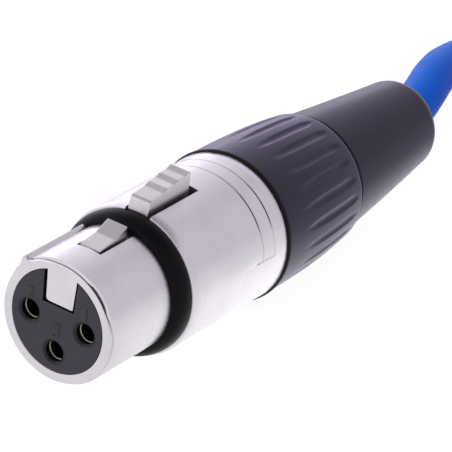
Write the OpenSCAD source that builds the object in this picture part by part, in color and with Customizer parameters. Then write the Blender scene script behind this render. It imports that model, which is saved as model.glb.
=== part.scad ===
// Three-pole microphone lead: female cable connector, blue cable, male cable connector.
// The lead lies on a table. Its unused length is wound into a tied coil beside the
// female connector, and the male connector rests on the coil.
// Axes: +X runs back along both connectors, +Z is up and the push latch is on top.
// Origin: on the table, under the middle of the female connector.

/* [Cable] */
// Outside diameter of the cable jacket
cable_d = 6.0; // [5.6:0.1:6.4]
// Diameter of one insulated conductor
wire_d = 1.4; // [1.0:0.1:1.6]

/* [Mating barrel] */
// Outside diameter of the barrel that enters the other connector
barrel_d = 16.1; // [15.9:0.05:16.2]
// Wall of the barrel
barrel_wall = 1.4; // [1.3:0.05:1.5]
// Length from the front face to the step behind the rubber ring
barrel_len = 14.3; // [14.1:0.05:14.8]
// Bevel on the front rim
rim_bevel = 0.35; // [0.2:0.05:0.5]
// Step from the barrel down to the rim
rim_step = 0.15; // [0.05:0.05:0.2]
// Width of the fine groove behind the rim
rim_groove = 0.25; // [0.15:0.05:0.4]
// Width of the key rib along the barrel
rib_w = 1.6; // [1.2:0.1:2.0]
// Height of the key rib over the barrel
rib_h = 0.6; // [0.4:0.05:0.7]
// Angle of the key rib from the latch
rib_angle = 45; // [40:1:55]

/* [Shell] */
// Outside diameter of the shell behind the ring
shell_d = 19.4; // [19.0:0.1:20.0]
// Wall of the shell behind the ring
shell_wall = 1.3; // [1.1:0.05:1.5]
// Length from the front face to the shell's rear edge
shell_len = 34.2; // [33.5:0.05:36.5]
// Bevel on the shell's outer edges
shell_bevel = 0.3; // [0.1:0.05:0.5]
// Width of the fine lines turned near the shell's rear
line_w = 0.18; // [0.12:0.02:0.3]
// Depth of the fine lines
line_depth = 0.12; // [0.06:0.02:0.2]
// Distance of the rear fine line from the shell's rear edge
line_inset = 2.65; // [2:0.05:4]
// Distance between the two fine lines
line_gap = 2.4; // [1.5:0.1:3]

/* [Rubber ring] */
// Width of the ring along the barrel
ring_w = 2.4; // [2.2:0.1:2.6]
// Thickness of the ring over the barrel
ring_h = 1.3; // [1.1:0.05:1.4]

/* [Latch] */
// Width of the latch lever
lever_w = 2.8; // [2.4:0.1:3.0]
// Gap on each side of the lever in the barrel's window
lever_gap = 0.35; // [0.25:0.05:0.5]
// Distance of the window's front edge from the front face
window_x = 5.0; // [4.9:0.05:5.4]
// Length of the hook's ramp
hook_len = 2.3; // [2.0:0.1:2.5]
// Height of the hook over the barrel
hook_h = 1.35; // [1.2:0.05:1.5]
// Height of the tab's rear edge over the shell
tab_h = 2.5; // [2.2:0.05:2.8]
// Length of the tab's serrated top
tab_len = 8.6; // [8.0:0.1:9.2]
// Number of ridges on the tab
tab_ridges = 4; // [3:1:5]
// Travel of the lever when the tab is pressed, in degrees
lever_travel = 9.5; // [6:0.5:9.5]
// Diameter of the lever's hinge pin
pin_d = 1.2; // [1.0:0.1:1.3]
// Wire of the latch spring
spring_wire = 0.35; // [0.25:0.05:0.45]
// Outside diameter of the latch spring
spring_d = 2.6; // [2.2:0.1:2.8]

/* [Inserts and contacts] */
// Diameter of the circle that the three contacts lie on
contact_circle = 8.12; // [7.9:0.02:8.3]
// Diameter of the round pins
pole_d = 2.36; // [2.3:0.02:2.4]
// Wall of the socket contacts
sleeve_wall = 0.4; // [0.3:0.05:0.45]
// Depth of the socket contacts behind the insert's face
sleeve_depth = 1.0; // [0.7:0.1:1.4]
// Length of a contact from its front end to its solder cup's rear end
sleeve_len = 27; // [25:0.5:27.5]
// Width of the metal key in the insert's notch
key_w = 4.1; // [3.6:0.1:4.4]
// Height of the key's lower edge over the axis
key_low = 2.3; // [2.1:0.1:2.8]
// Length of the key from the front face
key_len = 2.0; // [1.5:0.1:2.1]
// Length of the insert's flange in the shell
flange_len = 8; // [7.5:0.5:9]

/* [Cable gland] */
// Width of the dark collar behind the shell
collar_w = 0.75; // [0.5:0.05:1.2]
// Height of the collar over the shell
collar_h = 0.5; // [0.3:0.05:0.7]
// Length of the boot nut
nut_len = 17.6; // [16.5:0.05:19]
// Diameter of the boot nut at its front
nut_front_d = 19.9; // [19.5:0.1:20.2]
// Diameter of the boot nut at its rear
nut_rear_d = 18.0; // [17.4:0.1:18.6]
// Number of flutes around the nut
flute_count = 24; // [18:1:28]
// Depth of a flute
flute_depth = 0.5; // [0.2:0.05:0.6]
// Radius of a flute's hollow
flute_r = 1.3; // [1.0:0.1:1.4]
// Length of the threaded spigot in the shell
spigot_len = 5.5; // [4.5:0.5:5.5]
// Pitch of the spigot's thread
thread_pitch = 1.0; // [0.75:0.25:1.25]
// Length of the cable clamp in the nut
clamp_len = 13; // [11:0.5:13.5]
// Length of the bend relief behind the nut
relief_len = 24.7; // [23.5:0.05:28]
// Diameter of the bend relief where it leaves the nut
relief_front_d = 17.8; // [17:0.1:18]
// Diameter of the bend relief near its rear end
relief_rear_d = 12.5; // [11.6:0.1:13.0]

/* [Socket of the male connector] */
// Depth of the socket
socket_depth = 12; // [11.9:0.1:12.4]
// Gap around the mating barrel in the socket
socket_gap = 0.25; // [0.15:0.05:0.35]
// Distance from the rim to the pins' round tips
pole_setback = 1.3; // [1:0.1:2]
// Length of the hook's window in the rim
catch_len = 3.0; // [2.9:0.1:3.2]
// Width of the hook's window
catch_w = 4.2; // [3.6:0.1:4.6]

/* [Coil] */
// Radius of the coil's outermost turn
coil_r = 45; // [44:0.5:45]
// Step from one turn to the next across a layer
turn_step = 6.6; // [6.6:0.05:6.7]
// Height of one layer
layer_h = 6.6; // [6.6:0.05:6.8]
// Thickness of the tie straps
tie_t = 0.9; // [0.7:0.1:1.0]
// Width of the tie straps
tie_w = 12; // [10:1:14]

/* [Hidden] */

$fn = 96;

// Clearances
fit = 0.05;            // parts that slide together when the connector is built
pin_fit = 0.01;        // hinge pin in the insert
turn_fit = 0.05;       // lever on its hinge pin
loose = 0.3;           // parts that pass each other
over = 1;              // how far a cutting shape runs past what it cuts

// Radii
cable_r = cable_d / 2;
barrel_r = barrel_d / 2;
barrel_bore_r = barrel_r - barrel_wall;
shell_r = shell_d / 2;
shell_bore_r = shell_r - shell_wall;
insert_r = barrel_bore_r - fit;
flange_r = shell_bore_r - fit;
pole_r = pole_d / 2;
sleeve_bore_r = pole_r + 0.02;
sleeve_r = sleeve_bore_r + sleeve_wall;
shank_r = pole_r + 0.2;
contact_r = contact_circle / 2;
rib_r = barrel_r + rib_h;
rim_r = barrel_r - rim_step;

// Rubber ring: it sits on the barrel, against the step
ring_in_r = barrel_r + 0.02;
ring_r = ring_in_r + ring_h;
ring_end_x = barrel_len - fit;

// Latch: the window holds the hook, and the slot behind the ring holds the tab
window_w = lever_w + 2 * lever_gap;
slot_w = window_w + 0.5;
pin_r = pin_d / 2;
pivot_x = window_x - 1.35;
pivot_z = insert_r - 1.6;
eye_r = pin_r + 0.55;
lever_front_x = window_x + loose;
hook_end_x = window_x + 3.2 + hook_len;
arm_top_z = barrel_r - 0.5;
tab_x = barrel_len + 0.25;
tab_end_x = tab_x + tab_len;
tab_low_z = pivot_z + 1.8;
tab_top_z = shell_r + tab_h;
slot_end_x = tab_end_x + 1.8;
wing_w = slot_w + 1.2;
wing_len = 2.2;
wing_top_z = sqrt(pow(shell_bore_r, 2) - pow(wing_w / 2, 2)) - 0.08;

// Insert of the female connector
inner_step_x = barrel_len + 1.4;
insert_len = inner_step_x + flange_len;
deck_z = pivot_z - 1.7;                 // floor of the lever's trench
spring_x = tab_x + 4.1;
spring_pocket_z = deck_z - 2.1;
sleeve_end_x = sleeve_depth + sleeve_len;
sleeve_bore_len = 11;
cup_len = 4;
cup_r = wire_d / 2 + 0.1;

// Cable gland, measured back from the shell's rear edge
nut_x = collar_w + fit;
nut_end_x = nut_x + nut_len;
collar_r = shell_r + collar_h;
nut_front_r = nut_front_d / 2;
nut_rear_r = nut_rear_d / 2;
clamp_x = nut_x + 0.9;
clamp_r = shell_bore_r - 1.5;
clamp_bore_r = cable_r + 0.02;
clamp_rear_r = clamp_r - 1.7;
cone_len = 5;                            // length of the clamp's tapered end
relief_spigot_len = nut_len - 0.9 - clamp_len - 1.1;
relief_spigot_r = nut_rear_r - 2.4;
relief_bore_r = cable_r + 0.1;
relief_end_x = nut_end_x + relief_len;
relief_round = 2.4;
mouth_r = cable_r + 0.75;
bend_start = 5;                          // the cable starts to bend this far inside the mouth
jacket_x = nut_x + 0.2;
female_len = shell_len + relief_end_x;

// Male connector: the same gland on a shell with an open socket
socket_r = barrel_r + socket_gap;
pin_flange_len = 12;
male_shell_len = shell_len;
catch_x = barrel_len - ring_w - hook_end_x - 0.15;

// Places
axis_z = collar_r;
female_x = -female_len / 2;
coil_bottom_z = tie_t + 0.1;
layer_turns = 3.27;                      // turns in each layer
layers = 4;
coil_back = 50;                          // coil's centre behind the female connector
coil_side = 36;                          // coil's centre to the right of its axis
male_back = 18;                          // male connector's rear end behind the coil's centre
male_side = 19.5;                        // its axis to the right of the coil's centre
coil_z = coil_bottom_z + cable_r;
coil_x = female_x + female_len + coil_back;
coil_y = -coil_side;
coil_start = 85;
coil_top_z = coil_z + (layers - 1) * layer_h + cable_r;
male_len = male_shell_len + relief_end_x;
male_end_x = coil_x + male_back;
male_x = male_end_x - male_len;
male_y = coil_y - male_side;
male_z = coil_top_z + loose + collar_r;

// --- Cords ----------------------------------------------------------------

// Rings of a coil's loop and sides of its tube
loop_rings = 24;
loop_sides = 6;
run_sides = 10;

// Centre line of the coil. t counts turns. The radius falls and rises at a steady
// rate, and each layer's end climbs in the half turn around the reversal.
function layer_of(t) = min(layers - 1, floor(t / layer_turns));
function swing(t) = abs((t / layer_turns) % 2 - 1);
function radius_at(t) = coil_r - turn_step * layer_turns * (1 - swing(t));
function ease(u) = u <= 0 ? 0 : u >= 1 ? 1 : u * u * (3 - 2 * u);
function climb_at(t) = layer_h * sum([for (k = [1 : layers - 1])
    ease((t - k * layer_turns + 0.25) / 0.5)]);
function sum(v, i = 0) = i < len(v) ? v[i] + sum(v, i + 1) : 0;
function coil_point(t) = [
    coil_x + radius_at(t) * cos(coil_start - 360 * t),
    coil_y + radius_at(t) * sin(coil_start - 360 * t),
    coil_z + climb_at(t)
];
function unit(v) = v / norm(v);
coil_count = ceil(loop_rings * layers * layer_turns);
coil_turns = [for (i = [0 : coil_count]) coil_point(layers * layer_turns * i / coil_count)];
coil_in_dir = unit(coil_turns[1] - coil_turns[0]);
coil_out_dir = unit(coil_turns[coil_count] - coil_turns[coil_count - 1]);
coil_path = concat(
    [coil_turns[0] - cable_d * coil_in_dir],
    coil_turns,
    [coil_turns[coil_count] + cable_d * coil_out_dir]
);

// Least gap between the coil and itself, over points half a turn or more apart
coil_gap = min([
    for (i = [0 : coil_count], j = [i + loop_rings / 2 : coil_count])
        norm(coil_turns[i] - coil_turns[j])
]) - cable_d;
echo("least gap between the coil's turns, mm", coil_gap);

// The stretch from the female connector to the coil. x is counted from the
// bend relief's rear end, y from the connector's axis, z from the table.
run_start = [female_x + female_len - bend_start, 0, axis_z];
run_mid = [
    [-2.0, 0.0, 10.2],
    [1.0, 0.6, 10.2],
    [4.0, 1.3, 10.2],
    [7.5, 2.3, 10.2],
    [11.5, 3.6, 10.1],
    [15.5, 5.0, 9.8],
    [20.5, 6.5, 9.0],
    [26.0, 7.8, 7.7],
    [32.0, 8.8, 6.2],
    [38.0, 9.3, 4.9],
    [43.0, 9.5, 4.2]
];
run_path = concat(
    [run_start],
    [for (p = run_mid) [female_x + female_len + p[0], p[1], p[2]]],
    [coil_path[0]]
);

// The stretch from the coil up to the male connector, counted from the coil's
// centre and the table
tail_end = [male_end_x - bend_start, male_y, male_z];
tail_mid = [
    [33.5, 30.8, 24.6],
    [38.6, 24.6, 26.6],
    [42.0, 17.6, 29.1],
    [44.0, 10.0, 31.2],
    [44.2, 2.0, 32.8],
    [41.8, -5.6, 34.2],
    [36.8, -12.0, 35.4],
    [29.8, -16.8, 36.4],
    [22.0, -19.2, 37.0]
];
tail_path = concat(
    [coil_path[coil_count + 2]],
    [for (p = tail_mid) [coil_x + p[0], coil_y + p[1], p[2]]],
    [[male_end_x - 1, male_y, male_z], tail_end]
);

// --- Helpers ----------------------------------------------------------------

// A tube of n sides along a list of points, one ring at each point
module tube(path, r, n, first = undef, last = undef) {
    m = len(path);
    dirs = [for (i = [0 : m - 1])
        i == 0 ? (first == undef ? unit(path[1] - path[0]) : first)
        : i == m - 1 ? (last == undef ? unit(path[m - 1] - path[m - 2]) : last)
        : unit(unit(path[i + 1] - path[i]) + unit(path[i] - path[i - 1]))];
    rings = [for (i = [0 : m - 1])
        let (side = unit(cross([0, 0, 1], dirs[i])), up = cross(dirs[i], side))
        for (k = [0 : n - 1])
            path[i] + r * (cos(360 * k / n) * side + sin(360 * k / n) * up)];
    walls = [for (i = [0 : m - 2], k = [0 : n - 1])
        let (a = i * n + k, b = i * n + (k + 1) % n)
        for (f = [[a, b, b + n], [a, b + n, a + n]]) f];
    caps = [for (k = [1 : n - 2])
        for (f = [[0, k + 1, k], [(m - 1) * n, (m - 1) * n + k, (m - 1) * n + k + 1]]) f];
    // Each face runs clockwise seen from outside
    polyhedron(
        points = rings,
        faces = [for (f = concat(walls, caps)) [f[0], f[2], f[1]]]
    );
}

// A solid of revolution about the X axis from points [x, radius]
module turned(points) {
    rotate([0, 90, 0])
        rotate_extrude()
            polygon([for (p = points) [p[1], p[0]]]);
}

// A cylinder along +X from x, at y and z
module rod(x, len, r, y = 0, z = 0) {
    translate([x, y, z])
        rotate([0, 90, 0])
            cylinder(h = len, r = r);
}

// A box from its low corner to its high corner
module block(low, high) {
    translate(low)
        cube(high - low);
}

// An outline in the plane of X and Z, made a plate of width w about y = 0
module side_plate(points, w) {
    translate([0, w / 2, 0])
        rotate([90, 0, 0])
            linear_extrude(w)
                polygon(points);
}

// The three contact places: 1 on the right seen from the front, 2 on the left,
// 3 at the bottom
function contact_yz(i) = contact_r * [[-1, 0], [1, 0], [0, -1]][i - 1];

module at_female() {
    translate([female_x, 0, axis_z]) children();
}

module at_male() {
    translate([male_x, male_y, male_z]) children();
}

// --- Female connector -------------------------------------------------------

// Nickel-plated die-cast shell: barrel, step, window, slot, key and key rib
module female_shell() {
    groove_x = rim_bevel + 0.2;
    groove_depth = 0.15;
    line_x = shell_len - line_inset;
    color([0.78, 0.76, 0.78])
    at_female()
    difference() {
        union() {
            turned([
                [0, barrel_bore_r],
                [0, rim_r - rim_bevel / 2],
                [rim_bevel, rim_r],
                [groove_x, rim_r],
                [groove_x, rim_r - groove_depth],
                [groove_x + rim_groove, rim_r - groove_depth],
                [groove_x + rim_groove, barrel_r],
                [barrel_len, barrel_r],
                [barrel_len, shell_r - shell_bevel],
                [barrel_len + shell_bevel, shell_r],
                [shell_len - shell_bevel, shell_r],
                [shell_len, shell_r - shell_bevel],
                [shell_len, shell_bore_r],
                [inner_step_x, shell_bore_r],
                [inner_step_x, barrel_bore_r]
            ]);
            key_rib();
            insert_key();
        }
        block([window_x, -window_w / 2, 0], [barrel_len + over, window_w / 2, shell_r + over]);
        block([barrel_len - 0.02, -slot_w / 2, 0], [slot_end_x, slot_w / 2, shell_r + over]);
        fine_line(line_x);
        fine_line(line_x - line_gap);
    }
}

// Rib that steers the barrel into the other connector's groove: steep towards the
// latch, a long slope away from it
module key_rib() {
    rib_len = barrel_len - ring_w - 0.2;
    foot_r = barrel_bore_r + 0.4;
    slope_r = barrel_r - 0.15;
    rotate([-rib_angle, 0, 0])
        rotate([90, 0, 90])
            linear_extrude(rib_len)
                polygon([
                    [-rib_w / 2, foot_r],
                    [-rib_w / 2, slope_r],
                    [-0.28 * rib_w, rib_r],
                    [-0.14 * rib_w, rib_r],
                    [rib_w / 2, slope_r],
                    [rib_w / 2, foot_r]
                ]);
}

// Metal key in the insert's notch, flush with the rim
module insert_key() {
    intersection() {
        rotate([90, 0, 90])
            linear_extrude(key_len)
                polygon([
                    [-key_w / 2, key_low],
                    [key_w / 2, key_low],
                    [key_w / 2 + 0.25, barrel_r],
                    [-key_w / 2 - 0.25, barrel_r]
                ]);
        rod(0, key_len, barrel_bore_r + 0.3);
    }
}

// Fine turned line that runs over the top of the shell and stops low on each side
module fine_line(x) {
    half_angle = 84;
    rotate([0, 90, 0])
        translate([0, 0, x - line_w / 2])
            rotate([0, 0, 180 - half_angle])
                rotate_extrude(angle = 2 * half_angle)
                    translate([shell_r - line_depth, 0])
                        square([line_depth + over, line_w]);
}

// Rubber ring against the step: its front is a quarter round, its rear edge a small one
module shell_ring() {
    steps = 10;
    edge = 0.3;
    color([0.12, 0.11, 0.12])
    at_female()
        turned(concat(
            [for (i = [0 : steps])
                let (a = 90 * i / steps)
                [ring_end_x - ring_w + (ring_w - 2 * edge) * (1 - cos(a)),
                    ring_in_r + ring_h * sin(a)]],
            [for (a = [0 : 30 : 90])
                [ring_end_x - edge + edge * sin(a), ring_r - edge + edge * cos(a)]],
            [[ring_end_x, ring_in_r]]
        ));
}

// Latch lever: eye on the hinge pin, ramp and hook in the window, arm under the
// ring, serrated push tab in the slot and wings that stop it under the shell
module latch_lever() {
    ridge = tab_len / (tab_ridges - 0.5);
    ridge_rise = 0.35;
    first_top = tab_top_z - ridge_rise * (tab_ridges - 1);
    ridge_tops = [for (k = [0 : tab_ridges - 2])
        for (p = [
            [tab_x + 0.7 + k * ridge, first_top + k * ridge_rise],
            [tab_x + 0.7 + k * ridge + 0.68 * ridge, first_top + k * ridge_rise - 0.25]
        ]) p];
    outline = concat(
        [
            [pivot_x - 0.4, pivot_z + 1.05],
            [lever_front_x - 0.1, pivot_z + 1.3],
            [lever_front_x, barrel_r + 0.05],
            [hook_end_x - hook_len, barrel_r + 0.35],
            [hook_end_x, barrel_r + hook_h],
            [hook_end_x + 0.1, barrel_r + hook_h],
            [hook_end_x + 0.25, arm_top_z],
            [tab_x, arm_top_z],
            [tab_x, first_top - 0.45]
        ],
        ridge_tops,
        [
            [tab_end_x - 0.25, tab_top_z],
            [tab_end_x, tab_top_z - 0.1],
            [tab_end_x, tab_low_z],
            [tab_x, tab_low_z - 0.6],
            [pivot_x + 4, pivot_z + 0.6],
            [pivot_x + 0.3, pivot_z - eye_r]
        ]
    );
    color([0.80, 0.78, 0.80])
    at_female()
    difference() {
        union() {
            side_plate(outline, lever_w);
            translate([pivot_x, lever_w / 2, pivot_z])
                rotate([90, 0, 0])
                    cylinder(h = lever_w, r = eye_r);
            block(
                [tab_end_x - wing_len, -wing_w / 2, tab_low_z],
                [tab_end_x, wing_w / 2, wing_top_z]
            );
        }
        translate([pivot_x, lever_w, pivot_z])
            rotate([90, 0, 0])
                cylinder(h = 2 * lever_w, r = pin_r + turn_fit);
    }
}

// Steel hinge pin across the insert's trench
module latch_pin() {
    pin_len = 2 * (sqrt(pow(insert_r, 2) - pow(pivot_z + pin_r, 2)) - 0.2);
    color([0.7, 0.7, 0.72])
    at_female()
        translate([pivot_x, pin_len / 2, pivot_z])
            rotate([90, 0, 0])
                cylinder(h = pin_len, r = pin_r);
}

// Compression spring under the tab
module latch_spring() {
    turns = 5;
    rings = 10;
    r = spring_d / 2 - spring_wire / 2;
    low = spring_pocket_z + spring_wire / 2 + 0.02;
    lever_low = tab_low_z - 0.6 + 0.6 * (spring_x - spring_d / 2 - tab_x) / tab_len;
    high = lever_low - spring_wire / 2 - 0.05;
    points = [for (i = [0 : turns * rings])
        let (a = 360 * i / rings, u = i / (turns * rings))
        [spring_x + r * cos(a), r * sin(a), low + (high - low) * u]];
    color([0.75, 0.75, 0.77])
    at_female()
        tube(points, spring_wire / 2, 6);
}

// Black moulded insert: notch for the key, trench for the lever, flat flange
module socket_insert() {
    mouth_in_r = pole_r + 0.12;
    mouth_out_r = mouth_in_r + 0.25;
    color([0.22, 0.21, 0.24])
    at_female()
    difference() {
        union() {
            rod(0, inner_step_x + fit, insert_r);
            rod(inner_step_x + fit, flange_len - fit, flange_r);
        }
        rotate([90, 0, 90])
            translate([0, 0, -over])
                linear_extrude(key_len + loose - 0.05 + over)
                    polygon([
                        [-key_w / 2 - 0.25, key_low - 0.25],
                        [key_w / 2 + 0.25, key_low - 0.25],
                        [key_w / 2 + 0.5, barrel_r],
                        [-key_w / 2 - 0.5, barrel_r]
                    ]);
        block(
            [key_len + 0.2, -window_w / 2 - 0.05, deck_z],
            [inner_step_x + 1.4 + over, window_w / 2 + 0.05, shell_r]
        );
        block([inner_step_x + 1.4, -shell_r, deck_z], [insert_len + over, shell_r, shell_r]);
        translate([pivot_x, insert_r, pivot_z])
            rotate([90, 0, 0])
                cylinder(h = 2 * insert_r, r = pin_r + pin_fit);
        translate([spring_x, 0, spring_pocket_z])
            cylinder(h = deck_z - spring_pocket_z + over, r = spring_d / 2 + 0.2);
        for (i = [1 : 3]) {
            rod(-over, 2 * over + sleeve_depth, mouth_in_r, contact_yz(i)[0], contact_yz(i)[1]);
            translate([0, contact_yz(i)[0], contact_yz(i)[1]])
                turned([[-0.01, 0], [-0.01, mouth_out_r], [mouth_out_r - mouth_in_r, mouth_in_r],
                    [mouth_out_r - mouth_in_r, 0]]);
            rod(sleeve_depth - fit, insert_len, sleeve_r + 0.02,
                contact_yz(i)[0], contact_yz(i)[1]);
        }
    }
}

// Socket contact: split-free sleeve in front, solder cup at the rear
module socket_contact(i) {
    color([0.72, 0.60, 0.30])
    at_female()
        translate([0, contact_yz(i)[0], contact_yz(i)[1]])
        difference() {
            rod(sleeve_depth, sleeve_len, sleeve_r);
            rod(sleeve_depth - over, sleeve_bore_len + over, sleeve_bore_r);
            rod(sleeve_end_x - cup_len, cup_len + over, cup_r);
        }
}

// --- Cable gland, the same on both connectors -----------------------------------

// Dark collar between the shell and the boot nut
module gland_collar() {
    color([0.10, 0.10, 0.11])
        turned([
            [0, shell_bore_r],
            [0, shell_r + 0.1],
            [0.4 * collar_w, collar_r],
            [collar_w, collar_r],
            [collar_w, shell_bore_r]
        ]);
}

// Black boot nut: threaded spigot in the shell, fluted body, cone for the clamp
module gland_nut() {
    steps = 12;
    spigot_r = shell_bore_r - fit;
    spigot_bore_r = clamp_r + 0.1;
    cone_x = clamp_x + clamp_len - cone_len;
    cone_end_x = clamp_x + clamp_len + 0.1;
    thread_count = floor(spigot_len / thread_pitch) - 1;
    body = [for (i = [0 : steps])
        let (u = i / steps)
        [nut_x + nut_len * u, nut_front_r - (nut_front_r - nut_rear_r) * pow(u, 2.6)]];
    thread = [for (k = [0 : thread_count - 1])
        for (p = [
            [-spigot_len + (k + 0.2) * thread_pitch, spigot_r],
            [-spigot_len + (k + 0.5) * thread_pitch, spigot_r - 0.35],
            [-spigot_len + (k + 0.8) * thread_pitch, spigot_r]
        ]) p];
    flute_x = nut_x + 4.4 + flute_r;
    flute_end_x = nut_end_x - 2.6 - flute_r;
    flute_axis_r = nut_front_r - flute_depth + flute_r - 0.12;
    color([0.20, 0.19, 0.22])
    difference() {
        turned(concat(
            [[-spigot_len, spigot_bore_r]],
            thread,
            [[0, spigot_r], [nut_x, spigot_r]],
            body,
            [
                [nut_end_x, relief_spigot_r + fit],
                [nut_end_x - relief_spigot_len, relief_spigot_r + fit],
                [nut_end_x - relief_spigot_len, clamp_rear_r + 0.15],
                [cone_end_x, clamp_rear_r + 0.15],
                [cone_x, spigot_bore_r]
            ]
        ));
        for (k = [0 : flute_count - 1])
            rotate([360 * (k + 0.3) / flute_count, 0, 0])
                translate([0, 0, flute_axis_r]) {
                    rod(flute_x, flute_end_x - flute_x, flute_r);
                    translate([flute_x, 0, 0]) sphere(r = flute_r);
                    translate([flute_end_x, 0, 0]) sphere(r = flute_r);
                }
    }
}

// Slotted clamp that grips the jacket
module gland_clamp() {
    slot = 1.0;
    cone_x = clamp_x + clamp_len - cone_len;
    color([0.85, 0.85, 0.82])
    difference() {
        turned([
            [clamp_x, clamp_bore_r],
            [clamp_x, clamp_r],
            [cone_x, clamp_r],
            [clamp_x + clamp_len, clamp_rear_r],
            [clamp_x + clamp_len, clamp_bore_r]
        ]);
        for (a = [0, 90])
            rotate([a, 0, 0])
                block([clamp_x + 4, -slot / 2, -shell_r], [relief_end_x, slot / 2, shell_r]);
    }
}

// Rubber bend relief: spigot in the nut, shoulder, taper and rounded rear end
module gland_relief() {
    steps = 16;
    shoulder_len = 5.5;
    front_r = relief_front_d / 2;
    rear_r = relief_rear_d / 2;
    taper_len = relief_len - relief_round;
    shoulder_h = 0.65;
    start_x = nut_end_x + fit;
    taper = [for (i = [0 : steps])
        let (u = i / steps, x = u * taper_len, s = max(0, 1 - x / shoulder_len))
        [start_x + x * (taper_len - fit) / taper_len,
            (front_r - shoulder_h) + (rear_r - front_r + shoulder_h) * u
                + shoulder_h * pow(s, 1.5)]];
    rounded = [for (i = [1 : 8])
        let (a = 90 * i / 8)
        [relief_end_x - relief_round * (1 - sin(a)), mouth_r + (rear_r - mouth_r) * cos(a)]];
    color([0.19, 0.18, 0.21])
    turned(concat(
        [
            [nut_end_x - relief_spigot_len + fit, relief_bore_r],
            [nut_end_x - relief_spigot_len + fit, relief_spigot_r],
            [start_x, relief_spigot_r]
        ],
        taper,
        rounded,
        [[relief_end_x - bend_start, relief_bore_r]]
    ));
}

// Jacket from the gland's front to where the cable starts to bend
module gland_cable_end() {
    color([0.10, 0.33, 0.74])
        rod(jacket_x, relief_end_x - bend_start - jacket_x, cable_r);
}

// Conductor from the jacket's end into a solder cup, in the shell's frame
module conductor(i, shade, shell, cup_end_x) {
    from = shell + jacket_x;
    to = cup_end_x - cup_len + 0.5;
    place = contact_yz(i);
    near = 0.24 * place;
    steps = 8;
    bend_to = cup_end_x + 0.5;
    points = concat(
        [for (k = [0 : steps])
            let (u = k / steps, v = ease(u))
            [from + (bend_to - from) * u, near[0] + (place[0] - near[0]) * v,
                near[1] + (place[1] - near[1]) * v]],
        [[to, place[0], place[1]]]
    );
    color(shade)
        tube(points, wire_d / 2, 8, [-1, 0, 0], [-1, 0, 0]);
}

module female_collar() {
    at_female()
        translate([shell_len, 0, 0])
            gland_collar();
}

module female_clamp() {
    at_female()
        translate([shell_len, 0, 0])
            gland_clamp();
}

module female_boot_nut() {
    at_female()
        translate([shell_len, 0, 0])
            gland_nut();
}

module female_bend_relief() {
    at_female()
        translate([shell_len, 0, 0])
            gland_relief();
}

module female_cable_end() {
    at_female()
        translate([shell_len, 0, 0])
            gland_cable_end();
}

module female_wire(i, shade) {
    at_female()
        conductor(i, shade, shell_len, sleeve_end_x);
}

module male_collar() {
    at_male()
        translate([male_shell_len, 0, 0])
            gland_collar();
}

module male_clamp() {
    at_male()
        translate([male_shell_len, 0, 0])
            gland_clamp();
}

module male_boot_nut() {
    at_male()
        translate([male_shell_len, 0, 0])
            gland_nut();
}

module male_bend_relief() {
    at_male()
        translate([male_shell_len, 0, 0])
            gland_relief();
}

module male_cable_end() {
    at_male()
        translate([male_shell_len, 0, 0])
            gland_cable_end();
}

module male_wire(i, shade) {
    at_male()
        conductor(i, shade, male_shell_len, sleeve_end_x);
}

// --- Cable, coil and ties -------------------------------------------------------

module cable_run() {
    color([0.10, 0.33, 0.74])
        tube(run_path, cable_r, run_sides, [1, 0, 0], coil_in_dir);
}

module cable_coil() {
    color([0.10, 0.33, 0.74])
        tube(coil_path, cable_r, loop_sides);
}

module cable_tail() {
    color([0.10, 0.33, 0.74])
        tube(tail_path, cable_r, run_sides, coil_out_dir, [-1, 0, 0]);
}

// Strap around the bundle of turns, at an angle of the coil
module coil_tie(angle) {
    bundle_r = coil_r - turn_step * layer_turns - cable_r;
    inner_r = sqrt(pow(bundle_r, 2) - pow(tie_w / 2, 2)) - loose;
    outer_r = coil_r + cable_r + loose;
    corner = cable_r;
    color([0.12, 0.12, 0.13])
    translate([coil_x, coil_y, 0])
        rotate([90, 0, angle])
            translate([0, 0, -tie_w / 2])
                linear_extrude(tie_w)
                    difference() {
                        rounded_box([inner_r - tie_t, 0], [outer_r + tie_t,
                            coil_top_z + 0.2 + tie_t], corner + tie_t);
                        rounded_box([inner_r, tie_t], [outer_r, coil_top_z + 0.2], corner);
                    }
}

module rounded_box(low, high, r) {
    hull()
        for (x = [low[0] + r, high[0] - r], y = [low[1] + r, high[1] - r])
            translate([x, y]) circle(r = r, $fn = 32);
}

// --- Male connector ---------------------------------------------------------

// Nickel-plated shell with the open socket, the hook's window and the rib's groove
module male_shell() {
    groove_w = rib_w + 0.4;
    groove_r = rib_r + 0.3;
    color([0.78, 0.76, 0.78])
    at_male()
    difference() {
        turned([
            [0, socket_r],
            [0, shell_r - rim_bevel],
            [rim_bevel, shell_r],
            [male_shell_len - shell_bevel, shell_r],
            [male_shell_len, shell_r - shell_bevel],
            [male_shell_len, shell_bore_r],
            [socket_depth, shell_bore_r],
            [socket_depth, socket_r]
        ]);
        block([catch_x, -catch_w / 2, 0], [catch_x + catch_len, catch_w / 2, shell_r + over]);
        intersection() {
            rotate([rib_angle, 0, 0])
                block([-over, -groove_w / 2, 0], [socket_depth, groove_w / 2, shell_r]);
            rod(-over, socket_depth + over, groove_r);
        }
    }
}

// Black moulded insert that holds the pins
module pin_insert() {
    color([0.22, 0.21, 0.24])
    at_male()
    difference() {
        rod(socket_depth + fit, pin_flange_len, flange_r);
        for (i = [1 : 3])
            rod(socket_depth - over, pin_flange_len + 2 * over, shank_r + 0.02,
                contact_yz(i)[0], contact_yz(i)[1]);
    }
}

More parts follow.
